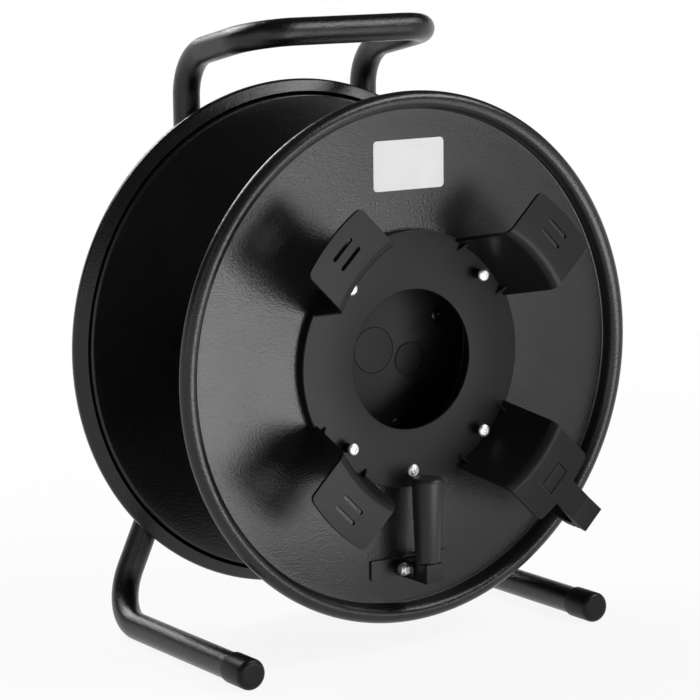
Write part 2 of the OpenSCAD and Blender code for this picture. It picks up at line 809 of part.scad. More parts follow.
module grip() color([0.2, 0.2, 0.2]) {
    bore_h = grip_l - grip_r1 + end_play;
    foot = [0, block_top + end_play, grip_z];
    on_axle() translate(foot) rotate([-90, 0, 0]) rotate_extrude() difference() {
        union() {
            polygon([
                [0, 0],
                [grip_r0, 0],
                [grip_r1, grip_l - grip_round],
                [0, grip_l - grip_round]]);
            translate([0, grip_l - grip_round - eps]) square([grip_r1 - grip_round, grip_round + eps]);
            intersection() {
                translate([grip_r1 - grip_round, grip_l - grip_round]) circle(grip_round);
                translate([0, grip_l - grip_round]) square([grip_r1, grip_round]);
            }
        }
        translate([-1, -1]) square([1 + spindle_r + run_gap, bore_h + 1]);
    }
}

frame_tube();
foot_cap_left();
foot_cap_right();
axle_plate();
axle();
axle_nut_front();
axle_nut_rear();
front_flange();
rear_flange();
core();
bearing_hub();
hub_pot();
axle_cap();
holder_ring();
holder_wing(0);  // holder_wing_1
holder_wing(1);  // holder_wing_2
holder_wing(2);  // holder_wing_3
holder_wing(3);  // holder_wing_4
wing_screw(0);  // wing_screw_1
wing_screw(1);  // wing_screw_2
wing_screw(2);  // wing_screw_3
wing_screw(3);  // wing_screw_4
ring_screw();
pot_screw(0);  // pot_screw_1
pot_screw(1);  // pot_screw_2
pot_screw(2);  // pot_screw_3
pot_screw(3);  // pot_screw_4
cable_clip();
crank_bracket();
pivot_bolt();
pivot_nut();
crank_block();
spindle();
grip();
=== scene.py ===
import json
import math

import bmesh
import bpy
import numpy as np
from mathutils import Matrix


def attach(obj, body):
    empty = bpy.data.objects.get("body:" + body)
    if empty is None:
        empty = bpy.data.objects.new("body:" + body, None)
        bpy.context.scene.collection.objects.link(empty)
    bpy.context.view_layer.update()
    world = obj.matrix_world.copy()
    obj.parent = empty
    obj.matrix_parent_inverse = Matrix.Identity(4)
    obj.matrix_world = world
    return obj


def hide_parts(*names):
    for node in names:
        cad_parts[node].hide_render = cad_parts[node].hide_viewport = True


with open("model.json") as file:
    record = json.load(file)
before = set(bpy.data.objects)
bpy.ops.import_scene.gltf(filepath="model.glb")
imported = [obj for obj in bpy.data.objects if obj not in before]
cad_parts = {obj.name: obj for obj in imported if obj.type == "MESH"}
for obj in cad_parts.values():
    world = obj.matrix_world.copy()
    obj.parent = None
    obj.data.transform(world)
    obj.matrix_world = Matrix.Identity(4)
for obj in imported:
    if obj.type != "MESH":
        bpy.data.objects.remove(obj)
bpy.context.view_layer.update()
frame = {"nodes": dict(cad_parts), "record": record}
nodes = frame["nodes"]
# the middle of the drum, on its axis, in mm
axlePoint = np.array(frame["record"]["behaviour"]["joints"][0]["pos_m"]) * 1000
print("frame loaded,", len(nodes), "nodes")


# a new object in the scene
def addObject(name, data):
    thing = bpy.data.objects.new(name, data)
    bpy.context.scene.collection.objects.link(thing)
    return thing


# turns an object's x, y and z along three unit vectors and puts it at a place in mm
def putAt(thing, right, up, back, place):
    turn = Matrix([right, up, back]).transposed().to_4x4()
    turn.translation = np.asarray(place, float) / 1000
    thing.matrix_world = turn


# camera at the photograph's angle, solved for a 700 x 700 picture
cameraSet = {
    "place": (-1103.75, -1653.46, 339.30),  # mm from the middle of the drum
    "right": (0.83128, -0.55577, -0.01006),
    "up": (0.10271, 0.13577, 0.98542),
    "back": (-0.54630, -0.82018, 0.16994),
    "lens": 142.17,
    "sensor": 36.0,
    "clipEnd": 100.0,
}


def setCamera():
    s = cameraSet
    data = bpy.data.cameras.new("camera")
    data.lens, data.sensor_width, data.clip_end = s["lens"], s["sensor"], s["clipEnd"]
    camera = addObject("camera", data)
    putAt(camera, s["right"], s["up"], s["back"], np.array(s["place"]) + axlePoint)
    bpy.context.scene.camera = camera


setCamera()


# a shape is its points (mm) and its faces
# drum coordinates: x right, y up, z to the front, from the middle of the drum
def onDrum(shape):
    x, y, z = np.moveaxis(np.asarray(shape[0], float), -1, 0)
    return np.stack([x, -z, y], -1) + axlePoint, shape[1]


def moved(shape, shift):
    return np.asarray(shape[0], float) + shift, shape[1]


# points turned about z by an angle in degrees
def turned(points, degrees):
    c, s = math.cos(math.radians(degrees)), math.sin(math.radians(degrees))
    return np.asarray(points, float) @ np.array([[c, s, 0], [-s, c, 0], [0, 0, 1]])


# the point at a radius and an angle in degrees about the axle
def drumSpot(radius, degrees, z):
    return (radius * math.cos(math.radians(degrees)), radius * math.sin(math.radians(degrees)), z)


# quads of a grid of rows and columns, closed on itself either way; keep drops the cells that are holes
def gridFaces(rows, cols, closeRows=False, closeCols=False, keep=None):
    i, j = np.meshgrid(np.arange(rows if closeRows else rows - 1),
                       np.arange(cols if closeCols else cols - 1), indexing="ij")
    i2, j2 = (i + 1) % rows, (j + 1) % cols
    quads = np.stack([i * cols + j, i * cols + j2, i2 * cols + j2, i2 * cols + j], -1)
    quads = quads.reshape(-1, 4) if keep is None else quads[keep]
    return [tuple(q) for q in quads.tolist()]


# several shapes as one
def joined(*shapes):
    points, faces, start = [], [], 0
    for p, f in shapes:
        points.append(np.asarray(p, float).reshape(-1, 3))
        faces += [tuple(k + start for k in face) for face in f]
        start += len(points[-1])
    return np.vstack(points), faces


# the arc of radius r that rounds a corner: centre + (p sin((1 - t) w) + q sin(t w)) / sin w, where p and q
# run from the centre to the arc's ends and w is its sweep; a corner with no radius, or nearly straight, stays
def cornerArc(before, corner, after, r, steps):
    straight = 1.55  # half the corner's angle in radians
    a, b = before - corner, after - corner
    a, b = a / np.linalg.norm(a), b / np.linalg.norm(b)
    half = math.acos(np.clip(a @ b, -1, 1)) / 2
    if r <= 0 or half > straight:
        return corner[None]
    centre = corner + (a + b) / np.linalg.norm(a + b) * r / math.sin(half)
    reach = r / math.tan(half)
    p, q = corner + a * reach - centre, corner + b * reach - centre
    sweep = math.pi - 2 * half
    t = np.linspace(0, 1, steps + 1)[:, None]
    return centre + (p * np.sin((1 - t) * sweep) + q * np.sin(t * sweep)) / math.sin(sweep)


# a closed outline with each corner replaced by an arc of the given radius
def rounded(corners, radii, steps=6):
    corners = np.asarray(corners, float)
    radii = np.broadcast_to(np.asarray(radii, float), (len(corners),))
    nexts = np.roll(corners, -1, 0)
    return np.vstack([cornerArc(corners[k - 1], corners[k], nexts[k], r, steps) for k, r in enumerate(radii)])


# a rectangle with rounded corners
def roundedBox(x0, y0, x1, y1, r, steps):
    return rounded([(x0, y0), (x1, y0), (x1, y1), (x0, y1)], r, steps)


# points of an arc about a centre, angles in degrees
def arcPoints(centre, r, start, end, steps):
    t = np.radians(np.linspace(start, end, steps + 1))
    return np.asarray(centre, float) + r * np.stack([np.cos(t), np.sin(t)], -1)


# a section (radius, height) turned about z: x = r cos t, y = r sin t
def lathe(section, steps, closed=True):
    section = np.asarray(section, float)
    t = np.linspace(0, 2 * np.pi, steps, endpoint=False)
    r, z = section[:, :1], section[:, 1:]
    points = np.stack([r * np.cos(t), r * np.sin(t), np.broadcast_to(z, (len(section), steps))], -1)
    return points.reshape(-1, 3), gridFaces(len(section), steps, closeRows=closed, closeCols=True)


# a solid round bar from z0 to z1: a rectangle turned about z, its lower and upper edge rounded
def roundBar(r, z0, z1, low=0, high=0, steps=64, arcSteps=6):
    section = rounded([(0, z0), (r, z0), (r, z1), (0, z1)], [0, low, high, 0], arcSteps)
    return lathe(section, steps, closed=False)


# an outline (x, y) drawn out from z0 to z1, with both ends closed
def prism(outline, z0, z1):
    outline = np.asarray(outline, float)
    n = len(outline)
    points = np.vstack([np.column_stack([outline, np.full(n, z)]) for z in (z0, z1)])
    return points, gridFaces(2, n, closeCols=True) + [tuple(range(n))[::-1], tuple(range(n, 2 * n))]


# an outline (radius, height) drawn out sideways by half either way of y, then turned about the axle
def sideways(outline, y, half, degrees):
    points, faces = prism(outline, y - half, y + half)
    return turned(points[:, [0, 2, 1]], degrees), [f[::-1] for f in faces]


# a circle carried along a path: each ring stands square to the path, and its frame turns as little as it can
def tubeAlong(path, radius, sides=56):
    tangent = np.gradient(path, axis=0)
    tangent /= np.linalg.norm(tangent, axis=1)[:, None]
    side = np.cross(tangent[0], [0.3, 0.2, 0.9])  # any start that isn't along the path
    across = []
    for t in tangent:
        side = side - t * (side @ t)
        side = side / np.linalg.norm(side)
        across.append(side)
    across = np.array(across)
    a = np.linspace(0, 2 * np.pi, sides, endpoint=False)[None, :, None]
    rings = np.cos(a) * across[:, None] + np.sin(a) * np.cross(tangent, across)[:, None]
    points = path[:, None] + radius * rings
    last = (len(path) - 1) * sides
    caps = [tuple(range(sides))[::-1], tuple(range(last, last + sides))]
    return points.reshape(-1, 3), gridFaces(len(path), sides, closeCols=True) + caps


# a six-sided nut or head from z = 0 to h: r = half the flats / cos of the angle from the nearest flat's middle,
# cut by a cone at either end, which leaves the end faces inset from the flats
def hexShape(flats, h, bore=0.0, inset=0.18, slope=2.2, steps=144):
    t = np.linspace(0, 2 * np.pi, steps, endpoint=False)
    off = (t + np.pi / 6) % (np.pi / 3) - np.pi / 6
    z = np.array([0, 0, 0.06, 0.2, 0.8, 0.94, 1, 1])[:, None] * h
    cone = flats / 2 - inset + np.minimum(z, h - z) * slope
    ring = np.minimum(flats / 2 / np.cos(off), cone)
    ring[[0, -1]] = bore
    points = np.stack([ring * np.cos(t), ring * np.sin(t), np.broadcast_to(z, ring.shape)], -1)
    return points.reshape(-1, 3), gridFaces(len(z), steps, closeRows=bore > 0, closeCols=True)


meshSet = {"merge": 2e-6, "thin": 1e-6, "bevelFrom": 35, "sharp": 38}  # m, m, degrees, degrees


# smooth shading, with the edges sharper than an angle in degrees left hard
def shade(mesh, sharp):
    mesh.polygons.foreach_set("use_smooth", np.ones(len(mesh.polygons), bool))
    mesh.set_sharp_from_angle(angle=math.radians(sharp))


# a mesh in metres, its poles and seams merged and its faces turned outwards
def cleanMesh(name, shape):
    points, faces = shape
    mesh = bpy.data.meshes.new(name)
    mesh.from_pydata((np.asarray(points) / 1000).tolist(), [], faces)
    work = bmesh.new()
    work.from_mesh(mesh)
    bmesh.ops.remove_doubles(work, verts=work.verts, dist=meshSet["merge"])
    bmesh.ops.dissolve_degenerate(work, edges=work.edges, dist=meshSet["thin"])
    bmesh.ops.recalc_face_normals(work, faces=work.faces)
    work.to_mesh(mesh)
    work.free()
    return mesh


# a piece at the origin; wall, cutters and bevel (mm) are worked into its mesh
def makePiece(name, shape, finish, body, replaces=(), sharp=meshSet["sharp"], bevel=0, bevelSteps=2,
              wall=0, cutters=None):
    mesh = cleanMesh(name, shape)
    shade(mesh, sharp)
    piece = addObject(name, mesh)
    cutter = None
    if wall:
        m = piece.modifiers.new("wall", "SOLIDIFY")
        m.thickness, m.offset, m.use_even_offset = wall / 1000, -1, True
    if cutters is not None:
        cutter = addObject("cutter", cleanMesh("cutter", cutters))
        m = piece.modifiers.new("cut", "BOOLEAN")
        m.operation, m.object, m.solver = "DIFFERENCE", cutter, "EXACT"
    if bevel:
        m = piece.modifiers.new("edge", "BEVEL")
        m.width, m.segments, m.harden_normals = bevel / 1000, bevelSteps, True
        m.limit_method, m.angle_limit = "ANGLE", math.radians(meshSet["bevelFrom"])
    if piece.modifiers:
        whole = bpy.data.meshes.new_from_object(piece.evaluated_get(bpy.context.evaluated_depsgraph_get()))
        piece.modifiers.clear()
        piece.data = whole
        whole.name = name
        bpy.data.meshes.remove(mesh)
    if cutter:
        bpy.data.objects.remove(cutter)
        shade(piece.data, sharp)
    piece.data.materials.clear()
    piece.data.materials.append(finish)
    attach(piece, body)
    if replaces:
        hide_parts(*replaces)
    return piece


# a socket that can be added, multiplied and so on: each operation adds a Math node
class Wire:
    def __init__(self, tree, socket):
        self.tree, self.socket = tree, socket

    def maths(self, operation, first, second):
        node = self.tree.nodes.new("ShaderNodeMath")
        node.operation = operation
        for k, value in enumerate((first, second)):
            if isinstance(value, Wire):
                self.tree.links.new(value.socket, node.inputs[k])
            else:
                node.inputs[k].default_value = value
        return Wire(self.tree, node.outputs[0])

    def __add__(self, other): return self.maths("ADD", self, other)
    def __radd__(self, other): return self.maths("ADD", other, self)
    def __sub__(self, other): return self.maths("SUBTRACT", self, other)
    def __rsub__(self, other): return self.maths("SUBTRACT", other, self)
    def __mul__(self, other): return self.maths("MULTIPLY", self, other)
    def __rmul__(self, other): return self.maths("MULTIPLY", other, self)
    def over(self, other): return self.maths("MAXIMUM", self, other)


# a material with one Principled shader; node() adds any other node
class Finish:
    def __init__(self, name, fixed):
        self.material = bpy.data.materials.new(name)
        self.material.use_nodes = True
        self.tree = self.material.node_tree
        self.shader = next(n for n in self.tree.nodes if n.type == "BSDF_PRINCIPLED")
        for socket, value in fixed.items():
            self.shader.inputs[socket].default_value = value
        self.place = self.node("ShaderNodeTexCoord", {}, {}, "Object")

    def node(self, kind, settings, inputs, out=0):
        node = self.tree.nodes.new(kind)
        for key, value in settings.items():
            setattr(node, key, value)
        for key, value in inputs.items():
            if isinstance(value, Wire):
                self.tree.links.new(value.socket, node.inputs[key])
            else:
                node.inputs[key].default_value = value
        return Wire(self.tree, node.outputs[out])

    def noise(self, scale, detail, rough=0.5):
        return self.node("ShaderNodeTexNoise", {}, {"Vector": self.place, "Scale": scale, "Detail": detail,
                                                    "Roughness": rough})

    def feed(self, socket, wire):
        self.tree.links.new(wire.socket, self.shader.inputs[socket])

    # colour between two tones by share, and roughness that swings about its middle by another value
    def cover(self, share, dark, light, rough, swing, by):
        mixed = self.node("ShaderNodeMix", {"data_type": "RGBA"}, {0: share, 6: dark, 7: light}, 2)
        self.feed("Base Color", mixed)
        self.feed("Roughness", rough - swing / 2 + by * swing)

    def bump(self, height, strength, depth):
        self.feed("Normal", self.node("ShaderNodeBump", {}, {"Height": height, "Strength": strength,
                                                             "Distance": depth}))


# a grey of 0 to 255 as a linear colour, by the sRGB curve; warm adds red and takes off blue
def tone(level, warm=0.0):
    linear = (level / 255 / 12.92) if level < 10.3 else ((level / 255 + 0.055) / 1.055) ** 2.4
    return (linear * (1 + warm), linear, linear * (1 - warm), 1)


# black powder coat on the drum's sheet: a leather-like grain about 1 mm across, noise and round cells
drumCoatSet = {"dark": 9, "light": 32, "rough": 0.25, "swing": 0.1, "gloss": 0.39, "clouds": 22,
               "grain": 1000, "cells": 800, "grainTone": 1.5, "cloudTone": 0.3, "toneShift": 0.4,
               "grainRise": 0.65, "cellRise": 0.5, "strength": 1.0, "depth": 0.0002}


def makeDrumCoat():
    s = drumCoatSet
    f = Finish("drumCoat", {"Specular IOR Level": s["gloss"]})
    grain = f.noise(s["grain"], 2.5, 0.55)
    cells = f.node("ShaderNodeTexVoronoi", {"feature": "SMOOTH_F1"}, {"Vector": f.place, "Scale": s["cells"]})
    clouds = f.noise(s["clouds"], 3)
    share = grain * s["grainTone"] + clouds * s["cloudTone"] - s["toneShift"]
    f.cover(share, tone(s["dark"]), tone(s["light"]), s["rough"], s["swing"], clouds)
    f.bump(grain * s["grainRise"] + cells * s["cellRise"], s["strength"], s["depth"])
    return f.material


# satin powder coat on the stand's tube, with a finer peel
tubeCoatSet = {"dark": 10, "light": 16, "rough": 0.2, "swing": 0.08, "gloss": 0.4, "clouds": 30,
               "peel": 860, "strength": 1.0, "depth": 0.0004}


def makeTubeCoat():
    s = tubeCoatSet
    f = Finish("tubeCoat", {"Specular IOR Level": s["gloss"]})
    clouds = f.noise(s["clouds"], 3)
    f.cover(clouds, tone(s["dark"]), tone(s["light"]), s["rough"], s["swing"], clouds)
    f.bump(f.noise(s["peel"], 2), s["strength"], s["depth"])
    return f.material


# moulded plastic: a faint spark-eroded texture and slow changes of gloss
plasticSet = {
    "holder": dict(dark=17, light=22, rough=0.36, gloss=0.15),
    "pot": dict(dark=16, light=21, rough=0.5, gloss=0.24),
    "cap": dict(dark=12, light=16, rough=0.4, gloss=0.22),
    "clip": dict(dark=15, light=19, rough=0.42, gloss=0.15),
    "grip": dict(dark=34, light=39, rough=0.4, gloss=0.3, warm=0.03, grain=1100, depth=0.00005),
    "block": dict(dark=26, light=31, rough=0.42, gloss=0.22, warm=-0.09),
}


def makePlastic(name, dark, light, rough, gloss, warm=0.0, grain=1500, depth=0.00003, strength=0.25,
                swing=0.08):
    f = Finish(name, {"Specular IOR Level": gloss})
    fine = f.noise(grain, 1.5)
    clouds = f.noise(35, 3)
    f.cover(clouds * 0.6 + fine * 0.4, tone(dark, warm), tone(light, warm), rough, swing, clouds)
    f.bump(fine, strength, depth)
    return f.material


# bright or dark metal of screws and nuts, with fine marks
zincSet = {"fine": 2600, "clouds": 160, "drop": 12, "warm": 0.01, "swing": 0.1, "strength": 0.15,
           "depth": 0.00002}


def makeZinc(name, level, rough):
    s = zincSet
    f = Finish(name, {"Metallic": 1.0})
    fine = f.noise(s["fine"], 2, 0.6)
    f.cover(f.noise(s["clouds"], 2), tone(level - s["drop"], s["warm"]), tone(level), rough, s["swing"], fine)
    f.bump(fine, s["strength"], s["depth"])
    return f.material


# the bare label plate: satin film, a little uneven
labelSet = {"dark": 204, "light": 212, "rough": 0.42, "swing": 0.06, "gloss": 0.15, "clouds": 60,
            "fine": 900, "strength": 0.08, "depth": 0.00002,
            "x": (-27.8, 32.1), "y": (120.2, 155.6), "thick": 0.3, "corner": 3.0, "edge": 0.1}


def makeLabelFilm():
    s = labelSet
    f = Finish("labelFilm", {"Specular IOR Level": s["gloss"]})
    clouds = f.noise(s["clouds"], 3)
    f.cover(clouds, tone(s["dark"]), tone(s["light"]), s["rough"], s["swing"], clouds)
    f.bump(f.noise(s["fine"], 1), s["strength"], s["depth"])
    return f.material


drumCoat = makeDrumCoat()
tubeCoat = makeTubeCoat()
plastic = {key: makePlastic(key + "Plastic", **values) for key, values in plasticSet.items()}
zinc = makeZinc("brightZinc", 232, 0.46)
darkSteel = makeZinc("darkSteel", 70, 0.4)
labelFilm = makeLabelFilm()
print("finishes made")


# stand: one tube from foot to foot, with a cap over either end
standSet = {"r": 10, "footX": 150, "reach": 98, "swell": 0.1, "uprightX": 78, "uprightZ": 99.25, "knee": 45,
            "barUp": 229.5, "armRise": 20.6, "armL": 99, "bends": (38, 60, 36, 32), "runRows": 9,
            "capR": 11.2, "capL": 25, "capEnd": 3, "capGap": 0.1, "capRound": 4, "capLip": (0.5, 0.2),
            "dish": ((0, 0.15), (4.5, 0.05)), "dishEnd": 0.55}


# the tube's middle line: straight runs between arcs at the bends, the left half a mirror of the right
def standPath():
    s = standSet
    backY, frontY, axleH = axlePoint[1] + s["uprightZ"], axlePoint[1] - s["reach"], axlePoint[2]
    swollen = s["r"] + s["swell"]
    fall = (s["capR"] - swollen) / (backY - s["bends"][0] - frontY - s["capL"])
    right = np.array([
        (s["footX"], frontY + s["capEnd"], s["capR"] + fall * (s["capL"] - s["capEnd"])),
        (s["footX"], backY, swollen - fall * s["bends"][0]),
        (s["uprightX"], backY, axleH - s["knee"]),
        (s["uprightX"], backY, axleH + s["barUp"] - s["armRise"]),
        (s["uprightX"], backY - s["armL"], axleH + s["barUp"])])
    corners = np.vstack([right, right[::-1] * [-1, 1, 1]])
    path = [corners[:1]]
    for k, r in enumerate(s["bends"] + s["bends"][::-1], 1):
        arc = cornerArc(corners[k - 1], corners[k], corners[k + 1], r, 24)
        start = path[-1][-1]
        path += [start + (arc[0] - start) * np.linspace(0.02, 0.98, s["runRows"])[:, None], arc]
    start = path[-1][-1]
    path.append(start + (corners[-1] - start) * np.linspace(0.02, 1, s["runRows"])[:, None])
    return np.vstack(path), right


def makeStand():
    s = standSet
    path, right = standPath()
    makePiece("standTube", tubeAlong(path, s["r"]), tubeCoat, "stand", ("frame_tube",))
    heading = right[0] - right[1]
    heading /= np.linalg.norm(heading)
    inner, end = s["r"] + s["capGap"], s["capL"] - s["capEnd"]
    section = np.vstack([
        [(r, s["capL"] - deep) for r, deep in s["dish"]],
        rounded([(s["capR"] * s["dishEnd"], s["capL"]), (s["capR"], s["capL"]), (s["capR"], 0), (inner, 0),
                 (inner, end)], [0, s["capRound"], *s["capLip"], 0]),
        [(0, end)]])
    points, faces = lathe(section, 96, closed=False)
    side = np.array([1.0, 0, 0])
    up = np.cross(heading, side)
    base = right[0] - (end - s["capGap"]) * heading
    spots = base + points[:, :1] * side + points[:, 1:2] * up + points[:, 2:] * heading
    for name, sign in (("left", -1), ("right", 1)):
        makePiece("footCap_" + name, (spots * [sign, 1, 1], faces), plastic["cap"], "stand",
                  ("foot_cap_" + name,))
    print("stand made")


makeStand()


# flanges: one sheet turned about the axle, its rim rolled over a crown and tucked back
flangeSet = {"r": 190, "sheet": 1.5, "face": 69.5, "crown": 6.25, "wall": 6, "bend": 1.1, "tuckBend": 3,
             "tuckAngle": 28.4, "gap": 1.5, "frontHole": 83.5, "rearHole": 15.5, "flatEnd": 8, "flatRows": 9,
             "coreR": 90}


# one side of the sheet as (radius, height): the flat, the bend up into the rim's wall, half a circle over
# the crown, an arc at the tuck and a straight end; lift is the depth under the sheet's face
def sheetFace(hole, lift):
    s = flangeSet
    wallR = s["r"] - 2 * s["crown"]
    centre, end = np.array([s["r"] - s["tuckBend"], s["wall"]]), s["tuckAngle"] - 90
    e, a = math.radians(end), math.radians(s["tuckAngle"])
    inner = s["tuckBend"] - s["sheet"]
    length = (centre[0] + inner * math.cos(e) - wallR - s["sheet"] - s["gap"]) / math.cos(a)
    last = centre + (s["tuckBend"] - lift) * np.array([math.cos(e), math.sin(e)])
    flat = np.linspace(hole, wallR - s["flatEnd"], s["flatRows"])
    return np.vstack([
        np.column_stack([flat, np.full(len(flat), -lift)]),
        arcPoints((wallR - s["bend"], s["bend"]), s["bend"] + lift, -90, 0, 8),
        arcPoints((s["r"] - s["crown"], s["wall"]), s["crown"] - lift, 180, 0, 20),
        arcPoints(centre, s["tuckBend"] - lift, 0, end, 10)[1:],
        [last - length * np.array([math.cos(a), math.sin(a)])]])


def makeDrum():
    s, b = flangeSet, labelSet
    for name, hole, side, replaced in (("flangeFront", s["frontHole"], 1, "front_flange"),
                                       ("flangeRear", s["rearHole"], -1, "rear_flange")):
        section = np.vstack([sheetFace(hole, 0), sheetFace(hole, s["sheet"])[::-1]]) + [0, s["face"]]
        points, faces = lathe(section, 320)
        makePiece(name, onDrum((points * [1, 1, side], faces)), drumCoat, "drum", (replaced,))
    half, inner = s["face"] - s["sheet"], s["coreR"] - s["sheet"]
    core = lathe([(s["coreR"], -half), (s["coreR"], half), (inner, half), (inner, -half)], 256)
    makePiece("coreTube", onDrum(core), drumCoat, "drum", ("core",))
    outline = roundedBox(b["x"][0], b["y"][0], b["x"][1], b["y"][1], b["corner"], 8)
    label = prism(outline, s["face"], s["face"] + b["thick"])
    makePiece("labelPlate", onDrum(label), labelFilm, "drum", bevel=b["edge"])
    print("drum made")


makeDrum()


# hub pot: a turned cup with bosses, ribs, sunk screws and the line of a knock-out
potSet = {"r": 80.5, "wall": 2.5, "floor": 27, "floorT": 4, "lip": 6, "top": 72.5, "cupR": 14.47, "capR": 16.9,
          "capT": 2, "edges": (0, 1.5, 0, 0, 0.3, 0.3, 1.2, 0.15, 0, 0),
          "bossR": 6.5, "bossAt": 80, "bossTurns": (45, 135, 225, 270, 315), "bossDrop": 0.3, "bossEdge": 0.4,
          "ribTurns": (-8, -21), "ribW": 1.2, "ribT": 1.0, "ribEdge": 0.3, "ribDrop": 3, "bite": 1,
          "screwAt": 60, "screwTurn": 19.5, "sinkR": 5.1, "sink": 3.1,
          "knockR": 12.5, "knockAt": 32.5, "knockTurn": -17, "line": 0.8, "lineDeep": 1.1}


def makePot():
    s = potSet
    out, floor, face = s["r"] + s["wall"], s["floor"], flangeSet["face"]
    base, cup = floor - s["floorT"], floor - s["capT"]
    section = rounded(
        [(s["cupR"], base), (out, base), (out, face), (out + s["lip"], face), (out + s["lip"], s["top"]),
         (s["r"], s["top"]), (s["r"], floor), (s["capR"], floor), (s["capR"], cup), (s["cupR"], cup)],
        s["edges"])
    low, high = floor - s["bite"], floor + s["bite"]
    bosses, cuts = [], []
    for t in s["bossTurns"]:
        boss = roundBar(s["bossR"], low, s["top"] - s["bossDrop"], high=s["bossEdge"])
        points, faces = moved(boss, drumSpot(s["bossAt"], t, 0))
        far = np.hypot(points[:, 0], points[:, 1])
        points[:, :2] *= np.minimum(1, (s["r"] + s["wall"] / 2) / far)[:, None]  # stays inside the wall
        bosses.append((points, faces))
    for t in s["ribTurns"]:
        outline = roundedBox(-s["ribW"], -s["ribT"], s["ribW"], s["ribT"], s["ribEdge"], 3)
        points, faces = prism(outline, low, face - s["ribDrop"])
        bosses.append((turned(points + [s["r"], 0, 0], t), faces))
    for k in range(4):
        sink = roundBar(s["sinkR"], floor - s["sink"], high, steps=48)
        cuts.append(moved(sink, drumSpot(s["screwAt"], s["screwTurn"] + 90 * k, 0)))
    deep, inner = floor - s["lineDeep"], s["knockR"] - s["line"]
    line = lathe([(inner, deep), (s["knockR"], deep), (s["knockR"], high), (inner, high)], 96)
    cuts.append(moved(line, drumSpot(s["knockAt"], s["knockTurn"], 0)))
    makePiece("hubPot", onDrum(lathe(section, 240)), plastic["pot"], "drum", ("hub_pot",),
              cutters=onDrum(joined(*cuts)))
    makePiece("potBosses", onDrum(joined(*bosses)), plastic["pot"], "drum")
    print("hub pot made")


makePot()


# winding holder: a turned ring and four wings, each a leaning wall bent over into a plate
holderSet = {"hole": 50, "r": 92, "top": 75.5, "t": 3, "skirt": 2.5, "edges": (0.2, 0.8, 1.0, 0.2, 0, 0),
             "wingTurns": (45, 135, 225, 315), "clipTurn": 315, "wingTop": 125.5, "wingR": 140.5, "half": 30,
             "wingT": 2.5, "lean": 14.5, "bend": 8, "corner": 5, "wingEdge": 0.45,
             "slotEdge": 11.7, "slotStep": 9.3, "slotL": 20.6, "slotW": 2.9,
             "windowEdge": 9.5, "windowL": 11.2, "windowHalf": 10.7,
             "gussetL": 9, "gussetH": 8.5, "gussetT": 1.5, "gussetAt": 24, "gussetToe": 0.4, "gussetEdge": 0.3,
             "postR": 3.5, "postH": 8, "postEdge": 0.3, "screwAt": 80, "bite": 1}
wingLean = math.radians(holderSet["lean"])
wingFoot = holderSet["r"] - holderSet["wingT"] / math.cos(wingLean)


# a wing's front face on columns across it and rows from its foot to its outer edge:
# wall and bend lie at radius r, so x = sqrt(r^2 - y^2); on the plate the rows follow the slots' edges
def wingSurface(withClip):
    s = holderSet
    hair = 0.01  # mm between the columns at a hole's end
    reach, end = (s["slotL"] - s["slotW"]) / 2, s["slotL"] / 2
    if withClip:
        marks = [s["windowHalf"], s["windowHalf"] - hair]
    else:
        marks = [*(reach + (end - reach) * np.sin(np.linspace(0, np.pi / 2, 6))), end + hair]
    cornerY = s["half"] - s["corner"]
    edge = s["half"] - s["corner"] * (1 - np.sin(np.linspace(0, np.pi / 2, 9)))
    side = np.unique(np.round(np.concatenate([[0], np.linspace(2, cornerY, 10), marks, edge]), 4))
    y = np.concatenate([-side[:0:-1], side])
    across = np.abs(y)

    # wall and bend
    bendZ = s["wingTop"] - s["bend"]
    bendR = wingFoot + (bendZ - s["top"] + s["bend"] * math.sin(wingLean)) * math.tan(wingLean)
    bendR += s["bend"] * math.cos(wingLean)
    low = np.array([bendR, bendZ]) - s["bend"] * np.array([math.cos(wingLean), -math.sin(wingLean)])
    foot = low - np.array([math.tan(wingLean), 1]) * (low[1] - s["top"] + s["t"] / 2)
    wall = foot + (low - foot) * np.linspace(0, 1, 10)[:, None]
    section = np.vstack([wall, arcPoints((bendR, bendZ), s["bend"], 180 - s["lean"], 90, 12)[1:]])
    x1 = np.sqrt(section[:, :1] ** 2 - y ** 2)
    z1 = np.broadcast_to(section[:, 1:], x1.shape)

    # the plate's outer edge: the arc of wingR, then the rounded corner
    tip = s["wingR"] - s["corner"]
    cornerX = math.sqrt(tip ** 2 - cornerY ** 2)
    beside = np.maximum(across - cornerY, 0)
    cornerEdge = cornerX + np.sqrt(np.maximum(s["corner"] ** 2 - beside ** 2, 0))
    outer = np.where(across < cornerY * s["wingR"] / tip, np.sqrt(s["wingR"] ** 2 - y ** 2), cornerEdge)
    if withClip:
        a = s["wingR"] - s["windowEdge"] - s["windowL"]
        inside = across < s["windowHalf"] - hair / 2
        rows = [np.full_like(y, a), np.full_like(y, a + s["windowL"])]
        holes = [0]
    else:
        h = np.sqrt(np.maximum((s["slotW"] / 2) ** 2 - np.maximum(across - reach, 0) ** 2, 0))
        inside = across < end
        first, second = s["wingR"] - s["slotEdge"] - s["slotStep"], s["wingR"] - s["slotEdge"]
        rows = [first - h, first + h, second - h, second + h]
        holes = [0, 2]
    x2 = np.vstack([rows, rows[-1] + (outer - rows[-1]) * np.linspace(0.2, 1, 6)[:, None]])

    x = np.vstack([x1, x2])
    z = np.vstack([z1, np.full_like(x2, s["wingTop"])])
    points = np.stack([x, np.broadcast_to(y, x.shape), z], -1)
    keep = np.ones((len(x) - 1, len(y) - 1), bool)
    for k in holes:
        keep[len(x1) + k, inside[:-1] & inside[1:]] = False
    return points.reshape(-1, 3), gridFaces(len(x), len(y), keep=keep)


